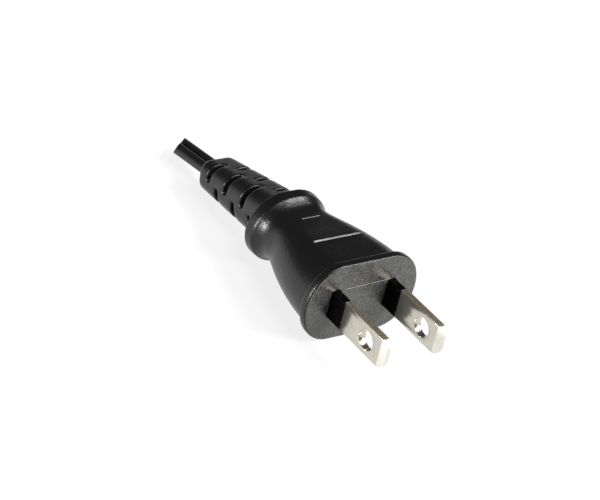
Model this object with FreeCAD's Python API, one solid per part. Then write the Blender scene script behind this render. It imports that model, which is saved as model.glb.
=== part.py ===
import FreeCAD
import Part
import math
import os

from FreeCAD import Vector

# Two-blade plug with a moulded body, a slotted strain relief and a stub of flat twin cord.
# Lengths are millimetres and angles degrees. X runs forward along the blades from the front face,
# Y runs across the two blades and Z is up. Depths behind the face are counted backwards from it.

# Blades of folded sheet, with a hole and a bevelled tip.
blade_pitch = 12.7
blade_width = 6.2
blade_thick = 1.5
blade_reach = 16.8
hole_dia = 4.0
hole_reach = 11.2
tip_bevel = 1.55
tip_thick = 0.6
tip_corner = 2.3
fold_round = 0.5
lip_round = 0.2
seam_width = 0.12
seam_depth = 0.7

# Thinner neck of the blade inside the sleeve and the carrier, then the tongue and the crimp barrel.
neck_thick = 1.0
neck_width = 5.0
neck_tail = 0.8
tongue_width = 2.4
tongue_length = 1.5
barrel_dia = 2.6
barrel_length = 3.5
barrel_inset = 0.6

# Hard inner carrier with the two sleeves round the blade roots.
sleeve_wall = 0.4
sleeve_reach = 3.6
sleeve_round = 0.3
carrier_setback = 1.2
carrier_length = 6.0
carrier_side = 1.4
carrier_top = 1.0
carrier_round = 0.6

# Front flange: margins round the blades, straight length of its top edge, thickness and edge rounds.
flange_side = 5.6
flange_top = 5.1
flange_flat = 11.4
flange_thick = 1.9
flange_front_round = 0.35
flange_back_round = 0.5

# Grip between flange and collar: steps behind the flange, waist and how far it lies in front of the collar's
# crest, and how fast the sides and top swell.
grip_step_side = 0.8
grip_step_top = 0.9
grip_flat = 10.2
waist_width = 14.8
waist_height = 10.5
waist_flat = 6.4
waist_lead = 2.8
waist_round = 1.8
side_swell = 2.1
top_swell = 1.6
grip_stations = 9

# Collar behind the waist: its crest is an edge, in front of it the collar falls to the waist in a hollow
# curve, and behind it a band widens a little and then narrows in a hollow flare to the strain relief. The
# whole collar hangs a little below the blades' middle plane.
crest_depth = 24.4
crest_hollow = 2.0
crest_stations = 4
crest_width = 17.2
crest_height = 14.4
collar_flat = 2.0
collar_drop = 0.45
band_length = 2.2
band_side = 0.1
band_top = 0.15
flare_length = 4.0
flare_width = 10.0
flare_height = 9.4
flare_flat = 4.0
flare_hollow = 3.0
flare_stations = 6

# Strain relief: a taper with rounded corners that starts inside the collar and hangs a little.
relief_embed = 4.0
relief_length = 23.8
relief_root_width = 10.5
relief_root_height = 10.2
relief_root_corner = 3.4
relief_end_width = 8.5
relief_end_height = 6.3
relief_end_corner = 2.4
relief_end_round = 1.2
relief_sag = 8.2

# Staggered slots in the four quarters of the strain relief. The early ones run a little past the middle
# plane, and the late ones between them stop short of it.
slot_width = 1.2
slot_pitch = 6.25
slot_first = 4.45
slot_end_margin = 3.0
slot_over = 0.1
slot_short = 0.9
slot_split = 0.3
slot_floor = 0.9
slot_lean = 12.0
slot_corner = 0.7
slot_heel = 0.4

# Flat twin cord and its two conductors.
core_pitch = 2.3
core_dia = 2.5
conductor_dia = 1.1
cord_web = 1.3
cord_reach = 13.7
cord_cut_side = 39.0
cord_cut_drop = 25.0
strip_length = 0.8
leg_front_bend = 2.2
leg_back_bend = 1.5
leg_straight = 0.3
sag_bend = 1.4

# Sizes that follow from the ones above.
sleeve_thick = neck_thick + 2 * sleeve_wall
sleeve_height = neck_width + 2 * sleeve_wall
flange_width = blade_pitch + blade_thick + 2 * flange_side
flange_height = blade_width + 2 * flange_top
grip_width = flange_width - 2 * grip_step_side
grip_height = flange_height - 2 * grip_step_top
carrier_back = carrier_setback + carrier_length
neck_back = carrier_back + neck_tail
barrel_front = neck_back + tongue_length
barrel_back = barrel_front + barrel_length
barrel_y = blade_pitch / 2 - barrel_inset
waist_depth = crest_depth - waist_lead
band_depth = crest_depth + band_length
collar_back = band_depth + flare_length
collar_width = crest_width + 2 * band_side
collar_height = crest_height + 2 * band_top
pivot_depth = collar_back - relief_embed
cord_width = core_pitch + core_dia
sag = math.radians(relief_sag)
sag_axis = Vector(-math.cos(sag), 0, -math.sin(sag))
pivot = Vector(-pivot_depth, 0, 0)


def block(x0, x1, y0, y1, z0, z1):
    return Part.makeBox(x1 - x0, y1 - y0, z1 - z0, Vector(x0, y0, z0))


def half_end(x, y, across, high, side):
    """Half of an ellipse in the plane at x, from top to bottom round one side."""
    centre = Vector(x, y, 0)
    outer = centre + Vector(0, side * across, 0)
    upper = centre + Vector(0, 0, high)
    if across >= high:
        ellipse = Part.Ellipse(outer, upper, centre)
        return Part.ArcOfEllipse(ellipse, -math.pi / 2, math.pi / 2).toShape()
    ellipse = Part.Ellipse(upper, outer, centre)
    return Part.ArcOfEllipse(ellipse, 0, math.pi).toShape()


def oval(x, width, height, flat):
    """Closed outline with a straight top and bottom and elliptical ends, in the plane at x."""
    y = flat / 2
    z = height / 2
    across = (width - flat) / 2
    top = Part.makeLine(Vector(x, -y, z), Vector(x, y, z))
    bottom = Part.makeLine(Vector(x, -y, -z), Vector(x, y, -z))
    edges = [top, half_end(x, y, across, z, 1), bottom, half_end(x, -y, across, z, -1)]
    return Part.Wire(Part.__sortEdges__(edges))


def rounded(x, width, height, corner):
    """Closed rectangle with rounded corners, in the plane at x."""
    y = width / 2 - corner
    z = height / 2 - corner
    diagonal = corner * math.sqrt(0.5)
    edges = []
    for side, level in ((1, 1), (-1, 1), (-1, -1), (1, -1)):
        centre = Vector(x, side * y, level * z)
        ends = [centre + Vector(0, side * corner, 0), centre + Vector(0, 0, level * corner)]
        if side * level < 0:
            ends.reverse()
        middle = centre + Vector(0, side * diagonal, level * diagonal)
        edges.append((ends[0], middle, ends[1]))
    wire = []
    for arc, after in zip(edges, edges[1:] + edges[:1]):
        wire.append(Part.Arc(*arc).toShape())
        wire.append(Part.makeLine(arc[2], after[0]))
    return Part.Wire(wire)


def lowered(wire, drop):
    wire.translate(Vector(0, 0, -drop))
    return wire


def slab(x0, x1, width, height, flat):
    return Part.Face(oval(x0, width, height, flat)).extrude(Vector(x1 - x0, 0, 0))


def edges_at(shape, x):
    """Edges that lie wholly in the plane at x."""
    return [e for e in shape.Edges if abs(e.BoundBox.XMin - x) < 1e-4 and abs(e.BoundBox.XMax - x) < 1e-4]


def edges_along(shape, z_sign):
    """Long edges in the X direction, above or below the middle plane."""
    found = []
    for e in shape.Edges:
        box = e.BoundBox
        if box.XLength > 1e-3 and box.YLength < 1e-4 and box.ZLength < 1e-4 and box.ZMin * z_sign > 0:
            found.append(e)
    return found


def tilted(shape):
    """Turns a shape made along the straight axis to the hanging axis of the strain relief."""
    shape.rotate(pivot, Vector(0, 1, 0), -relief_sag)
    return shape


def path(points, tangents):
    """Straight runs joined by tangent arcs; each corner gives the length it takes from its runs."""
    edges = []
    start = points[0]
    for corner, after, run in zip(points[1:-1], points[2:], tangents):
        back = (start - corner).normalize()
        ahead = (after - corner).normalize()
        turn = math.pi - back.getAngle(ahead)
        radius = run / math.tan(turn / 2)
        enter = corner + back * run
        leave = corner + ahead * run
        inward = (back + ahead).normalize()
        centre = corner + inward * (radius / math.cos(turn / 2))
        middle = centre - inward * radius
        edges.append(Part.makeLine(start, enter))
        edges.append(Part.Arc(enter, middle, leave).toShape())
        start = leave
        print("bend radius", round(radius, 2))
    edges.append(Part.makeLine(start, points[-1]))
    return Part.Wire(edges)


def tube(spine, dia):
    first = spine.Vertexes[0].Point
    direction = spine.Edges[0].tangentAt(spine.Edges[0].FirstParameter)
    ring = Part.Wire(Part.makeCircle(dia / 2, first, direction))
    return spine.makePipeShell([ring], True, False)


def leg_points(side, front_depth):
    """Route of one core: straight out of the crimp, in to the cord's middle, then along the hanging axis."""
    crimp_y = side * barrel_y
    cord_y = side * core_pitch / 2
    turn_in = barrel_back + strip_length + leg_straight + leg_front_bend
    turn_back = pivot_depth - sag_bend - leg_straight - leg_back_bend
    beyond = relief_length + cord_reach + cord_width
    return [
        Vector(-front_depth, crimp_y, 0),
        Vector(-turn_in, crimp_y, 0),
        Vector(-turn_back, cord_y, 0),
        pivot + Vector(0, cord_y, 0),
        pivot + Vector(0, cord_y, 0) + sag_axis * beyond,
    ]


def leg(side, front_depth, dia):
    bends = [leg_front_bend, leg_back_bend, sag_bend]
    return tube(path(leg_points(side, front_depth), bends), dia)


def cut_off():
    """Everything behind the cord's slanted cut."""
    reach = relief_length + cord_reach
    size = 6 * cord_width
    waste = block(-size, 0, -size, size, -size, size)
    waste.rotate(Vector(0, 0, 0), Vector(0, 1, 0), cord_cut_drop)
    waste.rotate(Vector(0, 0, 0), Vector(0, 0, 1), cord_cut_side)
    waste.translate(Vector(-pivot_depth - reach, 0, 0))
    return tilted(waste)


def make_blade(side):
    y = side * blade_pitch / 2
    half = blade_thick / 2
    high = blade_width / 2
    plate = block(sleeve_reach, blade_reach, y - half, y + half, -high, high)
    plate = plate.makeFillet(fold_round, edges_along(plate, -1))
    plate = plate.makeFillet(lip_round, edges_along(plate, 1))
    front = block(sleeve_reach, blade_reach, y - half, y + half, -high, high)
    corners = [e for e in edges_at(front, blade_reach) if e.BoundBox.YLength > 1e-3]
    front = front.makeFillet(min(tip_corner, 0.45 * blade_width), corners)
    bevel_x = blade_reach - tip_bevel
    tip = tip_thick / 2
    plan = [
        Vector(sleeve_reach, y - half, -high),
        Vector(bevel_x, y - half, -high),
        Vector(blade_reach, y - tip, -high),
        Vector(blade_reach, y + tip, -high),
        Vector(bevel_x, y + half, -high),
        Vector(sleeve_reach, y + half, -high),
        Vector(sleeve_reach, y - half, -high),
    ]
    wedge = Part.Face(Part.makePolygon(plan)).extrude(Vector(0, 0, blade_width))
    plate = plate.common(front).common(wedge)
    seam = seam_width / 2
    plate = plate.cut(block(sleeve_reach, blade_reach, y - seam, y + seam, high - seam_depth, high))
    hole = Part.makeCylinder(hole_dia / 2, blade_thick, Vector(hole_reach, y - half, 0), Vector(0, 1, 0))
    plate = plate.cut(hole)
    thin = neck_thick / 2
    neck = block(-neck_back, sleeve_reach, y - thin, y + thin, -neck_width / 2, neck_width / 2)
    tongue_end = -barrel_front - barrel_length / 2
    tongue = block(tongue_end, -neck_back, y - thin, y + thin, -tongue_width / 2, tongue_width / 2)
    backward = Vector(-1, 0, 0)
    mouth = Vector(-barrel_front, side * barrel_y, 0)
    barrel = Part.makeCylinder(barrel_dia / 2, barrel_length, mouth, backward)
    bore = Part.makeCylinder(conductor_dia / 2, barrel_length, mouth, backward)
    return plate.fuse([neck, tongue, barrel]).cut(bore).removeSplitter()


def make_carrier(blades):
    half_width = blade_pitch / 2 + sleeve_thick / 2 + carrier_side
    half_height = sleeve_height / 2 + carrier_top
    carrier = block(-carrier_back, -carrier_setback, -half_width, half_width, -half_height, half_height)
    long_edges = edges_along(carrier, 1) + edges_along(carrier, -1)
    carrier = carrier.makeFillet(carrier_round, long_edges)
    sleeves = []
    for side in (1, -1):
        y = side * blade_pitch / 2
        half = sleeve_thick / 2
        high = sleeve_height / 2
        sleeve = block(-carrier_back, sleeve_reach, y - half, y + half, -high, high)
        long_edges = edges_along(sleeve, 1) + edges_along(sleeve, -1)
        sleeves.append(sleeve.makeFillet(sleeve_round, long_edges))
    return carrier.fuse(sleeves).cut(blades).removeSplitter()


def make_grip():
    """Swelling middle of the body, from the collar's crest over the waist to the back of the flange."""
    outlines = []
    for i in range(crest_stations):
        u = i / crest_stations
        share = (1 - u) ** crest_hollow
        x = -crest_depth + u * (crest_depth - waist_depth)
        width = waist_width + (crest_width - waist_width) * share
        height = waist_height + (crest_height - waist_height) * share
        flat = waist_flat + (collar_flat - waist_flat) * share
        outlines.append(lowered(oval(x, width, height, flat), collar_drop * share))
    length = waist_depth - flange_thick / 2
    soft = waist_round / length
    for i in range(grip_stations):
        u = i / (grip_stations - 1)
        s = (math.hypot(u, soft) - soft) / (math.hypot(1, soft) - soft)
        side_share = 1 - (1 - s) ** side_swell
        top_share = 1 - (1 - s) ** top_swell
        width = waist_width + (grip_width - waist_width) * side_share
        height = waist_height + (grip_height - waist_height) * top_share
        flat = waist_flat + (grip_flat - waist_flat) * side_share
        outlines.append(oval(-waist_depth + u * length, width, height, flat))
    return Part.makeLoft(outlines, True, False)


def make_collar_back():
    """Back of the collar: the band behind its crest, and the flare from there to the strain relief."""
    crest = lowered(oval(-crest_depth, crest_width, crest_height, collar_flat), collar_drop)
    root_drop = relief_embed * math.tan(sag)
    outlines = []
    for i in range(flare_stations):
        u = i / (flare_stations - 1)
        share = (1 - u) ** flare_hollow
        width = flare_width + (collar_width - flare_width) * share
        height = flare_height + (collar_height - flare_height) * share
        flat = flare_flat + (collar_flat - flare_flat) * share
        drop = root_drop + (collar_drop - root_drop) * share
        outlines.append(lowered(oval(-band_depth - u * flare_length, width, height, flat), drop))
    band = Part.makeLoft([crest, outlines[0]], True, True)
    return band.fuse(Part.makeLoft(outlines, True, False))


def make_relief():
    """Rounded taper with three staggered slots in each quarter, leaving a core round the cord."""
    root = rounded(-pivot_depth, relief_root_width, relief_root_height, relief_root_corner)
    end_x = -pivot_depth - relief_length
    end = rounded(end_x, relief_end_width, relief_end_height, relief_end_corner)
    taper = Part.makeLoft([root, end], True, True)
    taper = taper.makeFillet(min(relief_end_round, 0.3 * relief_end_height), edges_at(taper, end_x))
    core_width = cord_width + 2 * slot_floor
    core_height = core_dia + 2 * slot_floor
    core = slab(end_x, -pivot_depth, core_width, core_height, core_width - core_height)
    far = relief_root_width + relief_root_height
    room = relief_length - slot_end_margin - slot_first
    slots = []
    for side in (1, -1):
        for level in (1, -1):
            late = side * level < 0
            inner = slot_short if late else -slot_over
            reach = slot_first + (slot_pitch / 2 if late else 0)
            while reach <= slot_first + room:
                x = -pivot_depth - reach
                slot = block(x - slot_width / 2, x + slot_width / 2, inner, far, slot_split / 2, far)
                corners = [e for e in slot.Edges if e.BoundBox.YMax < inner + 1e-3 and e.BoundBox.ZLength > 1]
                slot = slot.makeFillet(min(slot_corner, 0.4 * slot_width), corners)
                heels = [e for e in slot.Edges if e.BoundBox.ZMax < slot_split and e.BoundBox.YLength > 1]
                slot = slot.makeFillet(min(slot_heel, 0.2 * slot_width), heels)
                slot.rotate(Vector(x, 0, 0), Vector(0, 1, 0), slot_lean)
                if side < 0:
                    slot = slot.mirror(Vector(0, 0, 0), Vector(0, 1, 0))
                if level < 0:
                    slot = slot.mirror(Vector(0, 0, 0), Vector(0, 0, 1))
                slots.append(slot.cut(core))
                reach += slot_pitch
    return tilted(taper.cut(slots))


def make_body(inner):
    flange = slab(-flange_thick, 0, flange_width, flange_height, flange_flat)
    flange = flange.makeFillet(min(flange_front_round, 0.4 * flange_thick), edges_at(flange, 0))
    flange = flange.makeFillet(min(flange_back_round, 0.4 * flange_thick), edges_at(flange, -flange_thick))
    body = flange.fuse([make_grip(), make_collar_back(), make_relief()])
    return body.cut(inner).removeSplitter()


def make_insulation(conductors):
    """Two insulated cores joined by a web behind the point where they part."""
    start = -pivot_depth + sag_bend + leg_straight / 2
    middle = [Vector(start, 0, 0), pivot, pivot + sag_axis * (relief_length + cord_reach + cord_width)]
    spine = path(middle, [sag_bend])
    width = core_pitch / 2
    thick = cord_web / 2
    strip = [
        Vector(start, -width, -thick),
        Vector(start, width, -thick),
        Vector(start, width, thick),
        Vector(start, -width, thick),
        Vector(start, -width, -thick),
    ]
    web = spine.makePipeShell([Part.makePolygon(strip)], True, False)
    front = barrel_back + strip_length
    cores = [leg(side, front, core_dia) for side in (1, -1)]
    return web.fuse(cores).cut(conductors).cut(cut_off()).removeSplitter()


def main():
    blades = [make_blade(1), make_blade(-1)]
    carrier = make_carrier(blades)
    waste = cut_off()
    conductors = [leg(side, barrel_front, conductor_dia).cut(waste) for side in (1, -1)]
    insulation = make_insulation(conductors)
    body = make_body([carrier, insulation] + blades + conductors)
    pieces = {
        "plug_body": body,
        "blade_carrier": carrier,
        "blade_left": blades[0],
        "blade_right": blades[1],
        "cord_insulation": insulation,
        "conductor_left": conductors[0],
        "conductor_right": conductors[1],
    }
    # The part's origin is under its middle, on the surface it lies on.
    box = FreeCAD.BoundBox()
    for shape in pieces.values():
        box.add(shape.optimalBoundingBox(False))
    shift = Vector(-box.Center.x, -box.Center.y, -box.ZMin)
    os.makedirs("parts", exist_ok=True)
    for name, shape in pieces.items():
        shape.translate(shift)
        solid = shape.Solids[0] if len(shape.Solids) == 1 else shape
        print(name, "solids", len(shape.Solids), "valid", shape.isValid(), "volume", round(shape.Volume, 3))
        solid.exportStep(os.path.join("parts", name + ".step"))
    print("shift", round(shift.x, 4), round(shift.y, 4), round(shift.z, 4))


main()
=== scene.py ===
import math

import bpy
from bpy.props import FloatProperty, FloatVectorProperty, IntProperty, PointerProperty, StringProperty
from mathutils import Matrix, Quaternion, Vector


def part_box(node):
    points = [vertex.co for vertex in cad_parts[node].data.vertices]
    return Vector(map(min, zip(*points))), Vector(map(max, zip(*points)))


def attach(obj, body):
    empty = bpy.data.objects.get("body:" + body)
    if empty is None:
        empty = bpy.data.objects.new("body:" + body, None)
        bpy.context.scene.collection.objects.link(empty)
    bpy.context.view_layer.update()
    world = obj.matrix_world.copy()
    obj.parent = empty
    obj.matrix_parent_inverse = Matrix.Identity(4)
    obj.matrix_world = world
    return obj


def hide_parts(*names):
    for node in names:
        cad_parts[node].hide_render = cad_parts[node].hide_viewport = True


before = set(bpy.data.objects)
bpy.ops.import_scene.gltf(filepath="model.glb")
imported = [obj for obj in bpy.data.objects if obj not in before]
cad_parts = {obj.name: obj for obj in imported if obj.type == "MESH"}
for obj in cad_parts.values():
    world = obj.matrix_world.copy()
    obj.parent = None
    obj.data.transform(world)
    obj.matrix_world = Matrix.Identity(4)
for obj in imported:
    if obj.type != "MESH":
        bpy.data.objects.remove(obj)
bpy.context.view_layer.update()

bl_info = {
    "name": "Two-blade plug looks",
    "version": (1, 0, 0),
    "blender": (4, 5, 0),
    "location": "View3D > Sidebar > Plug",
    "description": "Dresses the two-blade plug with moulded, plated and stranded surfaces and sets its stage",
    "category": "Object",
}

# The one body that every piece rides on.
BODY = "root"
MM = 0.001

# Places read from the solids: front face, flange's top, and the blades' top, tip and middle height.
FACE_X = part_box("plug_body")[1].x
TOP_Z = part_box("plug_body")[1].z
BLADE_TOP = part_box("blade_left")[1].z
BLADE_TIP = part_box("blade_left")[1].x
AXIS_Z = (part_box("blade_left")[0].z + BLADE_TOP) / 2

# The skin further behind the face than this is the strain relief.
RELIEF_DEPTH = 30.0 * MM

# The strain relief and the cord hang back and down from a pivot in the collar, and the cord's cut slants.
PIVOT = Vector((FACE_X - 26.6 * MM, 0.0, AXIS_Z))
SAG = math.radians(8.2)
CORD_AXIS = Vector((-math.cos(SAG), 0.0, -math.sin(SAG)))
CUT_POINT = PIVOT + CORD_AXIS * 37.5 * MM
CUT_NORMAL = Vector((-0.7574, -0.5704, 0.3178))

# Copper strands: their start behind the pivot, their length before the cut, and each core's place across.
STRAND_START = 35.0 * MM
STRAND_LENGTH = 6.0 * MM
CORE_OFFSET = 1.15 * MM
# One strand stands in the middle, with 6 in the first ring round it and 12 in the second, each of 8 sides.
STRAND_RINGS = 2
FIRST_RING = 6
STRAND_SIDES = 8
# A strand's radius as a share of its diameter, a little under half so that neighbours do not touch.
STRAND_RADIUS = 0.47

# Plain ribs across the top of the grip: name, distance behind the face and length.
RIBS = (("rib_long", 10.5 * MM, 11.3 * MM), ("rib_short", 19.15 * MM, 4.4 * MM))
# A rib is divided this often along its length, to follow the grip.
RIB_STEPS = 40

# Mould seam on the front face: length, place across, height and slant.
SEAM_LENGTH = 9.8 * MM
SEAM_Y = 0.2 * MM
SEAM_Z = AXIS_Z + 2.95 * MM
SEAM_SLANT = math.radians(1.65)

# Share of their height that the bevels of ribs and seam take, and share of the body's grain that they keep.
TRIM_BEVEL = 0.9
TRIM_GRAIN = 0.1

# Painted reflections on the front face, pale streaks of light thrown off the blades' tops: start across and
# above the blades' middle, length, and half width at the far end.
FACE_REFLECTION_STREAKS = (
    (-6.9 * MM, 3.0 * MM, 4.6 * MM, 1.1 * MM),
    (5.8 * MM, 3.0 * MM, 6.6 * MM, 1.5 * MM),
)
# Turn about the plug's length that sends the painted reflection streaks up and to the side.
REFLECTION_STREAK_TURN = math.radians(144)

# Distances from the front face's plane within which a point is wholly, and partly, on the face.
ON_FACE = 0.02 * MM
NEAR_FACE = 0.08 * MM

# Sizes of the body's patterns: clouds in its gloss, and blotches on the front face.
CLOUD = 6 * MM
BLOTCH = 1.3 * MM

# Rolling lines of the blades along, across and up, drawn wider than the real ones so that they show.
ROLLING_LINES = (5 * MM, 0.2 * MM, 0.2 * MM)
ROLLING_DEPTH = 0.006 * MM
# Worn patches and specks in the plating, and torn spots along the cut edges.
WORN_PATCH = 1.6 * MM
SPECK = 0.35 * MM
TORN_SPOT = 0.3 * MM
# Heights at which the blades' top starts to be a cut edge, and is one wholly.
CUT_EDGE_START = BLADE_TOP - 0.12 * MM
CUT_EDGE = BLADE_TOP - 0.03 * MM

# Ripple of the sleeves.
RIPPLE = 0.7 * MM
RIPPLE_DEPTH = 0.01 * MM

# Die lines of the cord along, across and up, drawn wider than the real ones so that they show.
DIE_LINES = (6 * MM, 0.25 * MM, 0.25 * MM)
DIE_DEPTH = 0.015 * MM

# Stains along the copper strands.
COPPER_STAIN = 0.8 * MM

# Points of a CAD copy merge within this distance, and its faces count as flat within this angle.
MERGE = 2e-6
FLAT_ANGLE = math.radians(1.0)
# Edges sharper than these are broken on the CAD copies and on the ribs.
EDGE_ANGLE = math.radians(28)
RIB_EDGE_ANGLE = math.radians(50)
# Edges flatter than these shade smoothly on ribs and seam, on the CAD copies and on the strands.
TRIM_SMOOTH = math.radians(30)
CAD_SMOOTH = math.radians(35)
STRAND_SMOOTH = math.radians(50)
# Share of the way to its neighbours' middle that one smoothing pass moves a point.
PASS_SHARE = 0.5

# Soft lamps: name, place, aim, width and height in metres, and power in watts.
LAMPS = (
    ("overhead", (0.33, 0.0, 0.7), (0.0, 0.0, 0.0), 0.3, 0.3, 2.6),
    ("key", (0.4, 0.335, 0.59), (0.0, 0.0, 0.0), 0.4, 0.14, 6.0),
    ("left_strip", (-0.07, -0.7, 0.09), (0.0, 0.0, 0.01), 0.2, 0.17, 6.5),
    ("front_card", (0.42, 0.55, 0.3), (0.0, 0.0, 0.0), 0.4, 0.3, 2.8),
)


class PlugBodyLooks(bpy.types.PropertyGroup):
    """Moulded body: how soft its edges are, its colours and grain, and its ribs and seam."""
    voxel: FloatProperty(
        name="Skin grid", description="Grid size of the softened skin",
        default=0.24 * MM, unit="LENGTH", precision=6)
    soften: IntProperty(
        name="Soften passes", description="Smoothing passes over the skin", default=1, min=0)
    round_slots: IntProperty(
        name="Slot rounding", description="More smoothing passes over the strain relief", default=4, min=0)
    colour: StringProperty(
        name="Colour", description="Black soft PVC, sRGB hex", default="#0e0e0f")
    face_light: StringProperty(
        name="Face, light", description="Sparked front face, sRGB hex", default="#626260")
    face_dark: StringProperty(
        name="Face, dark", description="Pits of the front face, sRGB hex", default="#161615")
    # Painted reflection: colour of the pale streaks beside the sleeves, standing for light thrown off the
    # blades' tops.
    reflection_streak: StringProperty(
        name="Face, rubbed", description="Rubbed streaks beside the sleeves, sRGB hex", default="#b4ab98")
    grain: FloatProperty(
        name="Grain", description="Size of the moulded grain, drawn coarser than real so that it shows",
        default=0.36 * MM, unit="LENGTH", precision=6)
    grain_depth: FloatProperty(
        name="Grain depth",
        description="Height of the moulded grain, drawn deeper than real so that it shows",
        default=0.075 * MM, unit="LENGTH", precision=6)
    face_grain: FloatProperty(
        name="Face grain",
        description="Size of the front face's sparked grain, drawn coarser than real so that it shows",
        default=0.3 * MM, unit="LENGTH", precision=6)
    rib_width: FloatProperty(
        name="Rib width", description="Width of the plain ribs on the grip",
        default=0.6 * MM, unit="LENGTH", precision=6)
    rib_height: FloatProperty(
        name="Rib height", description="How far the ribs stand proud",
        default=0.24 * MM, unit="LENGTH", precision=6)
    seam_width: FloatProperty(
        name="Seam width", description="Width of the mould seam on the face",
        default=0.2 * MM, unit="LENGTH", precision=6)
    seam_height: FloatProperty(
        name="Seam height", description="How far the mould seam stands proud",
        default=0.08 * MM, unit="LENGTH", precision=6)


class PlugBladeLooks(bpy.types.PropertyGroup):
    """Plated blades and the sleeves round their roots."""
    edge: FloatProperty(
        name="Edge break", description="Width of the broken edges",
        default=0.05 * MM, unit="LENGTH", precision=6)
    colour: StringProperty(
        name="Plating", description="Nickel plating, sRGB hex", default="#c8c3b7")
    worn: StringProperty(
        name="Worn plating", description="Brass that shows through, sRGB hex", default="#a2947f")
    # Painted reflection: the tips' bevels get a whiter colour that stands for the brighter floor they mirror.
    coined_reflection: StringProperty(
        name="Coined tips", description="Pressed bevels of the tips, sRGB hex", default="#e2dfd6")
    coined_length: FloatProperty(
        name="Coined length", description="Length of the pressed bevels at the tips",
        default=1.55 * MM, unit="LENGTH", precision=6)
    sleeve_colour: StringProperty(
        name="Sleeves", description="Hard black plastic, sRGB hex", default="#020202")
    sleeve_edge: FloatProperty(
        name="Sleeve edge", description="Width of the sleeves' broken edges",
        default=0.06 * MM, unit="LENGTH", precision=6)


class PlugCordLooks(bpy.types.PropertyGroup):
    """Cord insulation and the strands of its two conductors."""
    colour: StringProperty(
        name="Insulation", description="Black PVC, sRGB hex", default="#0d0d0d")
    copper: StringProperty(
        name="Copper", description="Bare copper, sRGB hex", default="#c8835c")
    stained: StringProperty(
        name="Stained copper", description="Browner copper along the strands, sRGB hex", default="#8a5236")
    strand: FloatProperty(
        name="Strand", description="Diameter of one copper strand",
        default=0.22 * MM, unit="LENGTH", precision=6)
    strand_proud: FloatProperty(
        name="Strand ends", description="How far the strands stand out of the cut",
        default=0.1 * MM, unit="LENGTH", precision=6)


class PlugStage(bpy.types.PropertyGroup):
    """Floor, lights and camera."""
    floor_colour: StringProperty(
        name="Floor", description="Pale floor, sRGB hex", default="#7a7a7a")
    floor_glow: FloatProperty(
        name="Floor glow", description="Glow that whitens the floor without lighting the plug", default=0.8)
    floor_size: FloatProperty(
        name="Floor size", description="Length of the floor's side", default=6.0, unit="LENGTH")
    rim_height: FloatProperty(
        name="Rim height", description="Height of the upturned rim that hides the floor's end",
        default=0.25, unit="LENGTH")
    world_level: FloatProperty(
        name="World", description="Grey level of the plain world, linear", default=0.07)
    camera_place: FloatVectorProperty(
        name="Camera place", description="Where the camera stands",
        default=(0.246169, -0.213793, 0.206937), subtype="XYZ", unit="LENGTH")
    camera_aim: FloatVectorProperty(
        name="Camera aim", description="Point the camera looks at",
        default=(0.00363, 0.0010, 0.004905), subtype="XYZ", unit="LENGTH")
    camera_roll: FloatProperty(
        name="Camera roll", description="Turn about the line of sight",
        default=math.radians(13.909), unit="ROTATION")
    lens: FloatProperty(
        name="Lens", description="Focal length in millimetres", default=120.0)
    sensor: FloatProperty(
        name="Sensor", description="Width of the camera's sensor in millimetres", default=36.0)


class PlugLooks(bpy.types.PropertyGroup):
    """All settings of the plug's looks."""
    body: PointerProperty(type=PlugBodyLooks)
    blades: PointerProperty(type=PlugBladeLooks)
    cord: PointerProperty(type=PlugCordLooks)
    stage: PointerProperty(type=PlugStage)


def linear(text):
    """Linear RGBA of an sRGB hex colour."""
    parts = [int(text[i:i + 2], 16) / 255 for i in (1, 3, 5)]
    return tuple(c / 12.92 if c <= 0.04045 else ((c + 0.055) / 1.055) ** 2.4 for c in parts) + (1.0,)


def add(tree, kind, sockets=None, **settings):
    """Adds one shader node with its settings, and gives its sockets a link or a plain value."""
    node = tree.nodes.new(kind)
    for key, value in settings.items():
        setattr(node, key, value)
    for key, value in (sockets or {}).items():
        if isinstance(value, bpy.types.NodeSocket):
            tree.links.new(value, node.inputs[key])
        else:
            node.inputs[key].default_value = value
    return node


def new_material(name):
    """An empty material and its node tree."""
    material = bpy.data.materials.new(name)
    material.use_nodes = True
    material.node_tree.nodes.clear()
    return material, material.node_tree


def only(piece):
    """Makes one object the whole selection."""
    bpy.ops.object.select_all(action="DESELECT")
    piece.select_set(True)
    bpy.context.view_layer.objects.active = piece


def copy_of(node, name):
    """A merged copy of a CAD node with its own mesh, ready to be shaped."""
    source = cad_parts[node]
    piece = bpy.data.objects.new(name, source.data.copy())
    bpy.context.scene.collection.objects.link(piece)
    piece.data.materials.clear()
    only(piece)
    bpy.ops.object.mode_set(mode="EDIT")
    bpy.ops.mesh.select_all(action="SELECT")
    bpy.ops.mesh.remove_doubles(threshold=MERGE)
    bpy.ops.mesh.normals_make_consistent(inside=False)
    bpy.ops.object.mode_set(mode="OBJECT")
    # Normals that came with the node would hide the shading of the new shape.
    if piece.data.has_custom_normals:
        bpy.ops.mesh.customdata_custom_splitnormals_clear()
    return piece


def apply(piece, kind, **settings):
    """Adds one modifier with its settings and applies it."""
    only(piece)
    modifier = piece.modifiers.new(kind.title(), kind)
    for key, value in settings.items():
        setattr(modifier, key, value)
    bpy.ops.object.modifier_apply(modifier=modifier.name)


def smooth(piece, angle):
    """Shades a piece smoothly across edges that are flatter than the angle."""
    only(piece)
    bpy.ops.object.shade_smooth_by_angle(angle=angle)


def break_edges(piece, width):
    """Joins triangles that lie in one plane, and breaks the real edges that are left."""
    only(piece)
    bpy.ops.object.mode_set(mode="EDIT")
    bpy.ops.mesh.select_all(action="SELECT")
    bpy.ops.mesh.dissolve_limited(angle_limit=FLAT_ANGLE)
    bpy.ops.object.mode_set(mode="OBJECT")
    apply(piece, "BEVEL", width=width, segments=2, limit_method="ANGLE", angle_limit=EDGE_ANGLE)
    smooth(piece, CAD_SMOOTH)


def dress(piece, material, slot, *nodes):
    """Gives a finished piece its material and its body, and hides the nodes that it stands for; the slot
    argument is not used.
    """
    piece.data.materials.append(material)
    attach(piece, BODY)
    if nodes:
        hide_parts(*nodes)


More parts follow.
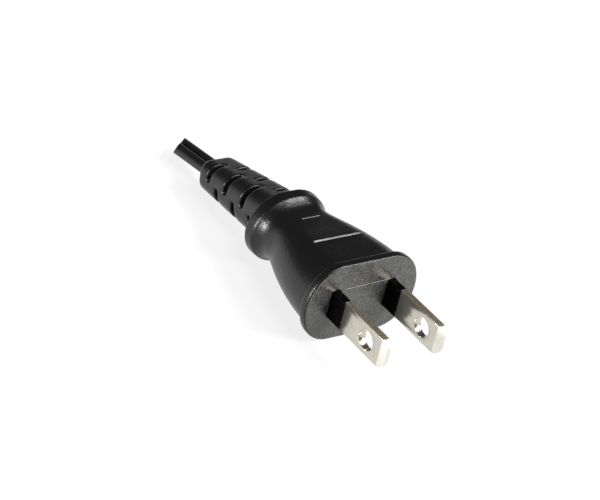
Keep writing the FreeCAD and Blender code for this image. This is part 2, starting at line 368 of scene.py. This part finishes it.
def reflection_streak(tree, place, y, z, length, width):
    """Mask of one painted reflection streak on the front face: bright where it starts, wider and fainter
    along its way.
    """
    local = add(tree, "ShaderNodeMapping", {
        "Vector": place,
        "Location": (FACE_X, y, AXIS_Z + z),
        "Rotation": (REFLECTION_STREAK_TURN, 0.0, 0.0),
        "Scale": (length, length, width),
    }, vector_type="TEXTURE")
    local = add(tree, "ShaderNodeSeparateXYZ", {"Vector": local.outputs["Vector"]})
    along = local.outputs["Y"]
    fade = add(tree, "ShaderNodeMapRange", {
        "Value": along, "From Min": 1.0, "From Max": 0.05, "To Max": 0.6,
    })
    start = add(tree, "ShaderNodeMapRange", {"Value": along, "From Min": -0.05, "From Max": 0.03})
    half = add(tree, "ShaderNodeMapRange", {"Value": along, "To Min": 0.3})
    across = add(tree, "ShaderNodeMath", {0: local.outputs["Z"]}, operation="ABSOLUTE")
    across = add(tree, "ShaderNodeMath", {
        0: across.outputs[0], 1: half.outputs["Result"],
    }, operation="DIVIDE")
    side = add(tree, "ShaderNodeMapRange", {
        "Value": across.outputs[0], "From Min": 1.0, "From Max": 0.1,
    }, interpolation_type="SMOOTHSTEP")
    mask = add(tree, "ShaderNodeMath", {
        0: fade.outputs["Result"], 1: start.outputs["Result"],
    }, operation="MULTIPLY")
    mask = add(tree, "ShaderNodeMath", {
        0: mask.outputs[0], 1: side.outputs["Result"],
    }, operation="MULTIPLY")
    return mask.outputs[0]


def sparked_face(tree, place, sparks, looks):
    """Colour of the front face: grey with dark pits and soft blotches, and paler in painted reflection
    streaks beside the sleeves, where light thrown off the blades' tops falls.
    """
    pits = add(tree, "ShaderNodeMapRange", {"Value": sparks, "From Min": 0.34, "From Max": 0.66})
    tone = add(tree, "ShaderNodeMix", {
        "Factor": pits.outputs["Result"], "A": linear(looks.face_dark), "B": linear(looks.face_light),
    }, data_type="RGBA")
    blotch = add(tree, "ShaderNodeTexNoise", {"Vector": place, "Scale": 1 / BLOTCH, "Detail": 3.0})
    blotch = add(tree, "ShaderNodeMapRange", {
        "Value": blotch.outputs["Fac"], "From Min": 0.3, "From Max": 0.7, "To Min": 0.75, "To Max": 1.1,
    })
    tone = add(tree, "ShaderNodeMix", {
        "Factor": 1.0, "A": tone.outputs["Result"], "B": blotch.outputs["Result"],
    }, data_type="RGBA", blend_type="MULTIPLY")
    # Painted reflection: pale streaks of light thrown off the blades' tops onto the face.
    for y, z, length, width in FACE_REFLECTION_STREAKS:
        tone = add(tree, "ShaderNodeMix", {
            "Factor": reflection_streak(tree, place, y, z, length, width),
            "A": tone.outputs["Result"],
            "B": linear(looks.reflection_streak),
        }, data_type="RGBA")
    return tone.outputs["Result"]


def soft_pvc(name, looks, grain_depth):
    """Moulded soft PVC: a satin black skin whose fine grain breaks up the highlights. The front face has a
    sparked grain, and looks grey because its pits scatter the light. The real grain is finer and shallower,
    and is drawn as coarse and deep as it needs to show. Ribs and seam come out of cut grooves, so their grain
    is faint."""
    material, tree = new_material(name)
    place = add(tree, "ShaderNodeTexCoord").outputs["Object"]
    split = add(tree, "ShaderNodeSeparateXYZ", {"Vector": place})
    behind = add(tree, "ShaderNodeMath", {0: FACE_X, 1: split.outputs["X"]}, operation="SUBTRACT")
    behind = add(tree, "ShaderNodeMath", {0: behind.outputs[0]}, operation="ABSOLUTE")
    on_face = add(tree, "ShaderNodeMapRange", {
        "Value": behind.outputs[0], "From Min": NEAR_FACE, "From Max": ON_FACE,
    }, interpolation_type="SMOOTHSTEP").outputs["Result"]
    grain = add(tree, "ShaderNodeTexNoise", {"Vector": place, "Scale": 1 / looks.grain, "Detail": 2.0})
    sparks = add(tree, "ShaderNodeTexNoise", {"Vector": place, "Scale": 1 / looks.face_grain, "Detail": 3.0})
    cloud = add(tree, "ShaderNodeTexNoise", {"Vector": place, "Scale": 1 / CLOUD, "Detail": 3.0})
    tone = add(tree, "ShaderNodeMix", {
        "Factor": on_face,
        "A": linear(looks.colour),
        "B": sparked_face(tree, place, sparks.outputs["Fac"], looks),
    }, data_type="RGBA")
    dull = add(tree, "ShaderNodeMapRange", {
        "Value": cloud.outputs["Fac"], "From Min": 0.3, "From Max": 0.7, "To Min": 0.27, "To Max": 0.34,
    })
    dull = add(tree, "ShaderNodeMix", {"Factor": on_face, "A": dull.outputs["Result"], "B": 0.3})
    shine = add(tree, "ShaderNodeMapRange", {"Value": on_face, "To Min": 0.36, "To Max": 0.7})
    relief = add(tree, "ShaderNodeMix", {
        "Factor": on_face, "A": grain.outputs["Fac"], "B": sparks.outputs["Fac"],
    })
    bump = add(tree, "ShaderNodeBump", {
        "Height": relief.outputs["Result"], "Strength": 0.8, "Distance": grain_depth,
    })
    skin = add(tree, "ShaderNodeBsdfPrincipled", {
        "Base Color": tone.outputs["Result"],
        "Roughness": dull.outputs["Result"],
        "IOR": 1.53,
        "Specular IOR Level": shine.outputs["Result"],
        "Normal": bump.outputs["Normal"],
    })
    add(tree, "ShaderNodeOutputMaterial", {"Surface": skin.outputs["BSDF"]})
    return material


def plated_brass(looks):
    """Nickel-plated brass: a warm satin metal with faint rolling lines. The coined bevels of the tips are
    painted whiter, a painted reflection of the brighter floor that they mirror. Bare brown brass, torn and
    stained, shows along the cut edges of the folded sheet and in small worn patches."""
    material, tree = new_material("nickel_plated_brass")
    place = add(tree, "ShaderNodeTexCoord").outputs["Object"]
    split = add(tree, "ShaderNodeSeparateXYZ", {"Vector": place})
    drawn = add(tree, "ShaderNodeMapping", {"Vector": place, "Scale": [1 / size for size in ROLLING_LINES]})
    lines = add(tree, "ShaderNodeTexNoise", {"Vector": drawn.outputs["Vector"], "Scale": 1.0, "Detail": 3.0})
    patches = add(tree, "ShaderNodeTexNoise", {
        "Vector": place, "Scale": 1 / WORN_PATCH, "Detail": 5.0, "Roughness": 0.65,
    })
    worn = add(tree, "ShaderNodeMapRange", {
        "Value": patches.outputs["Fac"], "From Min": 0.54, "From Max": 0.8, "To Max": 0.35,
    }, interpolation_type="SMOOTHSTEP")
    cut_edge = add(tree, "ShaderNodeMapRange", {
        "Value": split.outputs["Z"], "From Min": CUT_EDGE_START, "From Max": CUT_EDGE, "To Max": 0.8,
    }, interpolation_type="SMOOTHSTEP").outputs["Result"]
    torn = add(tree, "ShaderNodeTexNoise", {
        "Vector": place, "Scale": 1 / TORN_SPOT, "Detail": 3.0, "Roughness": 0.7,
    })
    torn = add(tree, "ShaderNodeMapRange", {
        "Value": torn.outputs["Fac"], "From Min": 0.35, "From Max": 0.62, "To Min": 0.35,
    })
    specks = add(tree, "ShaderNodeTexNoise", {
        "Vector": place, "Scale": 1 / SPECK, "Detail": 4.0, "Roughness": 0.7,
    })
    specks = add(tree, "ShaderNodeMapRange", {
        "Value": specks.outputs["Fac"], "From Min": 0.35, "From Max": 0.55, "To Min": 0.88,
    })
    spots = add(tree, "ShaderNodeMix", {
        "Factor": cut_edge, "A": specks.outputs["Result"], "B": torn.outputs["Result"],
    })
    bare = add(tree, "ShaderNodeMath", {0: worn.outputs["Result"], 1: cut_edge}, operation="MAXIMUM")
    tone = add(tree, "ShaderNodeMix", {
        "Factor": bare.outputs[0], "A": linear(looks.colour), "B": linear(looks.worn),
    }, data_type="RGBA")
    pressed = add(tree, "ShaderNodeMath", {
        0: split.outputs["X"], 1: BLADE_TIP - looks.coined_length,
    }, operation="GREATER_THAN").outputs[0]
    # Painted reflection: the coined bevels turn whiter, standing for the brighter floor that they mirror.
    tone = add(tree, "ShaderNodeMix", {
        "Factor": pressed, "A": tone.outputs["Result"], "B": linear(looks.coined_reflection),
    }, data_type="RGBA")
    tone = add(tree, "ShaderNodeMix", {
        "Factor": 1.0, "A": tone.outputs["Result"], "B": spots.outputs["Result"],
    }, data_type="RGBA", blend_type="MULTIPLY")
    rough = add(tree, "ShaderNodeMapRange", {
        "Value": lines.outputs["Fac"], "From Min": 0.3, "From Max": 0.7, "To Min": 0.18, "To Max": 0.26,
    })
    rough = add(tree, "ShaderNodeMix", {"Factor": cut_edge, "A": rough.outputs["Result"], "B": 0.7})
    rough = add(tree, "ShaderNodeMix", {"Factor": pressed, "A": rough.outputs["Result"], "B": 0.42})
    bump = add(tree, "ShaderNodeBump", {
        "Height": lines.outputs["Fac"], "Strength": 0.08, "Distance": ROLLING_DEPTH,
    })
    metal = add(tree, "ShaderNodeBsdfPrincipled", {
        "Base Color": tone.outputs["Result"],
        "Metallic": 1.0,
        "Roughness": rough.outputs["Result"],
        "Normal": bump.outputs["Normal"],
    })
    add(tree, "ShaderNodeOutputMaterial", {"Surface": metal.outputs["BSDF"]})
    return material


def hard_plastic(looks):
    """Moulded PBT: a hard, deep black that hardly shines, with a slight ripple."""
    material, tree = new_material("moulded_pbt")
    place = add(tree, "ShaderNodeTexCoord").outputs["Object"]
    ripple = add(tree, "ShaderNodeTexNoise", {"Vector": place, "Scale": 1 / RIPPLE, "Detail": 2.0})
    dull = add(tree, "ShaderNodeMapRange", {
        "Value": ripple.outputs["Fac"], "From Min": 0.3, "From Max": 0.7, "To Min": 0.3, "To Max": 0.4,
    })
    bump = add(tree, "ShaderNodeBump", {
        "Height": ripple.outputs["Fac"], "Strength": 0.1, "Distance": RIPPLE_DEPTH,
    })
    skin = add(tree, "ShaderNodeBsdfPrincipled", {
        "Base Color": linear(looks.sleeve_colour),
        "Roughness": dull.outputs["Result"],
        "IOR": 1.5,
        "Specular IOR Level": 0.02,
        "Normal": bump.outputs["Normal"],
    })
    add(tree, "ShaderNodeOutputMaterial", {"Surface": skin.outputs["BSDF"]})
    return material


def cord_pvc(looks):
    """Extruded PVC: satin black with faint lines along the cord from the extruder's die."""
    material, tree = new_material("extruded_pvc")
    place = add(tree, "ShaderNodeTexCoord").outputs["Object"]
    drawn = add(tree, "ShaderNodeMapping", {
        "Vector": place, "Rotation": (0.0, SAG, 0.0), "Scale": [1 / size for size in DIE_LINES],
    })
    lines = add(tree, "ShaderNodeTexNoise", {"Vector": drawn.outputs["Vector"], "Scale": 1.0, "Detail": 2.0})
    dull = add(tree, "ShaderNodeMapRange", {
        "Value": lines.outputs["Fac"], "From Min": 0.3, "From Max": 0.7, "To Min": 0.36, "To Max": 0.46,
    })
    bump = add(tree, "ShaderNodeBump", {
        "Height": lines.outputs["Fac"], "Strength": 0.2, "Distance": DIE_DEPTH,
    })
    skin = add(tree, "ShaderNodeBsdfPrincipled", {
        "Base Color": linear(looks.colour),
        "Roughness": dull.outputs["Result"],
        "IOR": 1.53,
        "Specular IOR Level": 0.36,
        "Normal": bump.outputs["Normal"],
    })
    add(tree, "ShaderNodeOutputMaterial", {"Surface": skin.outputs["BSDF"]})
    return material


def bare_copper(looks):
    """Drawn copper wire: bright where it was cut, a little browner along the strands."""
    material, tree = new_material("drawn_copper")
    place = add(tree, "ShaderNodeTexCoord").outputs["Object"]
    stain = add(tree, "ShaderNodeTexNoise", {"Vector": place, "Scale": 1 / COPPER_STAIN, "Detail": 3.0})
    tone = add(tree, "ShaderNodeMix", {
        "Factor": stain.outputs["Fac"], "A": linear(looks.copper), "B": linear(looks.stained),
    }, data_type="RGBA")
    metal = add(tree, "ShaderNodeBsdfPrincipled", {
        "Base Color": tone.outputs["Result"], "Metallic": 1.0, "Roughness": 0.3,
    })
    add(tree, "ShaderNodeOutputMaterial", {"Surface": metal.outputs["BSDF"]})
    return material


def pale_floor(looks):
    """Matt paint that keeps the plug's shadow. Its glow shows only to the camera and in shiny or clear
    things, so that the floor looks white without lighting the plug."""
    material, tree = new_material("pale_floor")
    paint = add(tree, "ShaderNodeBsdfDiffuse", {"Color": linear(looks.floor_colour)})
    path = add(tree, "ShaderNodeLightPath")
    seen = add(tree, "ShaderNodeMath", {
        0: path.outputs["Is Camera Ray"], 1: path.outputs["Is Glossy Ray"],
    }, operation="MAXIMUM")
    seen = add(tree, "ShaderNodeMath", {
        0: seen.outputs[0], 1: path.outputs["Is Transmission Ray"],
    }, operation="MAXIMUM")
    level = add(tree, "ShaderNodeMath", {0: seen.outputs[0], 1: looks.floor_glow}, operation="MULTIPLY")
    glow = add(tree, "ShaderNodeEmission", {"Strength": level.outputs[0]})
    both = add(tree, "ShaderNodeAddShader", {0: paint.outputs[0], 1: glow.outputs[0]})
    add(tree, "ShaderNodeOutputMaterial", {"Surface": both.outputs[0]})
    return material


class PLUG_OT_body(bpy.types.Operator):
    """Softened skin of the moulded body"""
    bl_idname = "plug.body"
    bl_label = "Moulded body"

    def execute(self, context):
        looks = context.scene.plug_looks.body
        skin = copy_of("plug_body", "body_skin")
        apply(skin, "REMESH", mode="VOXEL", voxel_size=looks.voxel, use_smooth_shade=True)
        apply(skin, "SMOOTH", factor=PASS_SHARE, iterations=looks.soften)
        only(skin)
        for vertex in skin.data.vertices:
            vertex.select = vertex.co.x < FACE_X - RELIEF_DEPTH
        bpy.ops.object.mode_set(mode="EDIT")
        bpy.ops.mesh.vertices_smooth(factor=PASS_SHARE, repeat=looks.round_slots)
        bpy.ops.object.mode_set(mode="OBJECT")
        dress(skin, soft_pvc("moulded_soft_pvc", looks, looks.grain_depth), "body_pvc", "plug_body")
        return {"FINISHED"}


class PLUG_OT_ribs(bpy.types.Operator):
    """Plain ribs across the top of the grip, and the mould seam on the front face"""
    bl_idname = "plug.ribs"
    bl_label = "Ribs and seam"

    def execute(self, context):
        looks = context.scene.plug_looks.body
        skin = bpy.data.objects["body_skin"]
        pvc = soft_pvc("moulded_soft_pvc_even", looks, TRIM_GRAIN * looks.grain_depth)
        for name, depth, length in RIBS:
            bpy.ops.object.select_all(action="DESELECT")
            bpy.ops.mesh.primitive_grid_add(x_subdivisions=2, y_subdivisions=RIB_STEPS, size=1.0)
            rib = context.active_object
            rib.name = name
            rib.scale = (looks.rib_width, length, 1.0)
            rib.location = (FACE_X - depth, 0.0, TOP_Z)
            bpy.ops.object.transform_apply(location=True, rotation=True, scale=True)
            # The strip drops onto the grip from above and is thickened, half of it inside the skin.
            apply(rib, "SHRINKWRAP", target=skin, wrap_method="PROJECT", use_project_z=True,
                  use_negative_direction=True, use_positive_direction=False)
            apply(rib, "SOLIDIFY", thickness=2 * looks.rib_height, offset=0.0)
            apply(rib, "BEVEL", width=TRIM_BEVEL * looks.rib_height, segments=1, limit_method="ANGLE",
                  angle_limit=RIB_EDGE_ANGLE)
            smooth(rib, TRIM_SMOOTH)
            dress(rib, pvc, "body_pvc")
        bpy.ops.object.select_all(action="DESELECT")
        bpy.ops.mesh.primitive_cube_add(size=1.0)
        seam = context.active_object
        seam.name = "face_seam"
        seam.scale = (2 * looks.seam_height, SEAM_LENGTH, looks.seam_width)
        seam.rotation_euler = (SEAM_SLANT, 0.0, 0.0)
        seam.location = (FACE_X, SEAM_Y, SEAM_Z)
        bpy.ops.object.transform_apply(location=True, rotation=True, scale=True)
        apply(seam, "BEVEL", width=TRIM_BEVEL * looks.seam_height, segments=1)
        smooth(seam, TRIM_SMOOTH)
        dress(seam, pvc, "body_pvc")
        return {"FINISHED"}


class PLUG_OT_blades(bpy.types.Operator):
    """Plated blades with broken edges"""
    bl_idname = "plug.blades"
    bl_label = "Blades"

    def execute(self, context):
        looks = context.scene.plug_looks.blades
        metal = plated_brass(looks)
        for side in ("left", "right"):
            blade = copy_of("blade_" + side, "blade_" + side + "_plated")
            break_edges(blade, looks.edge)
            dress(blade, metal, "blade_metal", "blade_" + side)
        return {"FINISHED"}


class PLUG_OT_sleeves(bpy.types.Operator):
    """Hard carrier with the two sleeves"""
    bl_idname = "plug.sleeves"
    bl_label = "Sleeves"

    def execute(self, context):
        looks = context.scene.plug_looks.blades
        sleeves = copy_of("blade_carrier", "sleeves_moulded")
        break_edges(sleeves, looks.sleeve_edge)
        dress(sleeves, hard_plastic(looks), "carrier_plastic", "blade_carrier")
        return {"FINISHED"}


class PLUG_OT_cord(bpy.types.Operator):
    """Cord insulation and its conductors"""
    bl_idname = "plug.cord"
    bl_label = "Cord stub"

    def execute(self, context):
        looks = context.scene.plug_looks.cord
        cord = copy_of("cord_insulation", "cord_jacket")
        smooth(cord, CAD_SMOOTH)
        dress(cord, cord_pvc(looks), "cord_pvc", "cord_insulation")
        copper = bare_copper(looks)
        for side in ("left", "right"):
            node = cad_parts["conductor_" + side]
            node.data.materials.clear()
            node.data.materials.append(copper)
        return {"FINISHED"}


class PLUG_OT_strands(bpy.types.Operator):
    """Ends of the copper strands at the cord's cut"""
    bl_idname = "plug.strands"
    bl_label = "Strand ends"

    def execute(self, context):
        looks = context.scene.plug_looks.cord
        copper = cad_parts["conductor_left"].data.materials[0]
        turn = CORD_AXIS.to_track_quat("Z", "Y")
        cut = CUT_POINT + CUT_NORMAL * looks.strand_proud
        places = []
        for ring in range(1, STRAND_RINGS + 1):
            count = FIRST_RING * ring
            for i in range(count):
                angle = 2 * math.pi * i / count
                places.append((ring * looks.strand * math.cos(angle), ring * looks.strand * math.sin(angle)))
        for side, y in (("left", CORE_OFFSET), ("right", -CORE_OFFSET)):
            bpy.ops.object.select_all(action="DESELECT")
            bpy.ops.mesh.primitive_circle_add(
                vertices=STRAND_SIDES, radius=STRAND_RADIUS * looks.strand, fill_type="NGON")
            strand = context.active_object
            strand.name = "strand_ends_" + side
            bpy.ops.object.mode_set(mode="EDIT")
            bpy.ops.mesh.extrude_region_move(TRANSFORM_OT_translate={"value": (0.0, 0.0, STRAND_LENGTH)})
            bpy.ops.mesh.select_all(action="SELECT")
            bpy.ops.mesh.normals_make_consistent(inside=False)
            bpy.ops.object.mode_set(mode="OBJECT")
            copies = []
            for across, up in places:
                only(strand)
                bpy.ops.object.duplicate(linked=False)
                context.active_object.location = (across, up, 0.0)
                copies.append(context.active_object)
            only(strand)
            for piece in copies:
                piece.select_set(True)
            bpy.ops.object.join()
            # The bundle is made upright, and is then laid along the cord and cut off at the cord's slant.
            strand.rotation_euler = turn.to_euler()
            strand.location = PIVOT + Vector((0.0, y, 0.0)) + CORD_AXIS * STRAND_START
            bpy.ops.object.transform_apply(location=True, rotation=True, scale=True)
            bpy.ops.object.mode_set(mode="EDIT")
            bpy.ops.mesh.select_all(action="SELECT")
            bpy.ops.mesh.bisect(plane_co=cut, plane_no=CUT_NORMAL, use_fill=True, clear_outer=True)
            bpy.ops.object.mode_set(mode="OBJECT")
            smooth(strand, STRAND_SMOOTH)
            dress(strand, copper, "copper")
        return {"FINISHED"}


class PLUG_OT_stage(bpy.types.Operator):
    """Pale floor, soft lights, plain world and the camera"""
    bl_idname = "plug.stage"
    bl_label = "Stage"

    def execute(self, context):
        looks = context.scene.plug_looks.stage
        scene = context.scene
        scene.view_settings.view_transform = "Standard"
        bpy.ops.object.select_all(action="DESELECT")
        bpy.ops.mesh.primitive_plane_add(size=looks.floor_size)
        floor = context.active_object
        floor.name = "floor"
        bpy.ops.object.mode_set(mode="EDIT")
        bpy.ops.mesh.select_all(action="SELECT")
        bpy.ops.mesh.extrude_edges_move(TRANSFORM_OT_translate={"value": (0.0, 0.0, looks.rim_height)})
        bpy.ops.object.mode_set(mode="OBJECT")
        floor.data.materials.append(pale_floor(looks))

        world = bpy.data.worlds.new("studio")
        scene.world = world
        world.use_nodes = True
        grey = (looks.world_level, looks.world_level, looks.world_level, 1.0)
        world.node_tree.nodes["Background"].inputs["Color"].default_value = grey

        for name, place, aim, wide, high, power in LAMPS:
            bpy.ops.object.light_add(type="AREA", location=place)
            lamp = context.active_object
            lamp.name = name
            lamp.data.shape = "RECTANGLE"
            lamp.data.size = wide
            lamp.data.size_y = high
            lamp.data.energy = power
            lamp.rotation_euler = (Vector(aim) - Vector(place)).to_track_quat("-Z", "Y").to_euler()

        data = bpy.data.cameras.new("camera")
        data.lens = looks.lens
        data.sensor_width = looks.sensor
        camera = bpy.data.objects.new("camera", data)
        scene.collection.objects.link(camera)
        camera.location = looks.camera_place
        camera.rotation_mode = "QUATERNION"
        sight = Vector(looks.camera_aim) - Vector(looks.camera_place)
        camera.rotation_quaternion = sight.to_track_quat("-Z", "Y") @ Quaternion((0, 0, 1), looks.camera_roll)
        scene.camera = camera
        return {"FINISHED"}


class PLUG_PT_panel(bpy.types.Panel):
    """Lists the plug's pieces and their settings"""
    bl_idname = "PLUG_PT_panel"
    bl_label = "Plug"
    bl_space_type = "VIEW_3D"
    bl_region_type = "UI"
    bl_category = "Plug"

    def draw(self, context):
        looks = context.scene.plug_looks
        for operator in OPERATORS:
            self.layout.operator(operator.bl_idname)
        for group in (looks.body, looks.blades, looks.cord, looks.stage):
            box = self.layout.box()
            for name in group.__annotations__:
                box.prop(group, name)


OPERATORS = (
    PLUG_OT_body, PLUG_OT_ribs, PLUG_OT_blades, PLUG_OT_sleeves, PLUG_OT_cord, PLUG_OT_strands, PLUG_OT_stage,
)
CLASSES = (PlugBodyLooks, PlugBladeLooks, PlugCordLooks, PlugStage, PlugLooks) + OPERATORS + (PLUG_PT_panel,)


def register():
    """Registers the classes and adds the settings to the scene."""
    for cls in CLASSES:
        bpy.utils.register_class(cls)
    bpy.types.Scene.plug_looks = PointerProperty(type=PlugLooks)


def unregister():
    """Takes the settings and the classes away again."""
    del bpy.types.Scene.plug_looks
    for cls in reversed(CLASSES):
        bpy.utils.unregister_class(cls)


def main():
    """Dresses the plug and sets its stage."""
    register()
    bpy.ops.plug.body()
    bpy.ops.plug.ribs()
    bpy.ops.plug.blades()
    bpy.ops.plug.sleeves()
    bpy.ops.plug.cord()
    bpy.ops.plug.strands()
    bpy.ops.plug.stage()


if __name__ == "__main__":
    main()
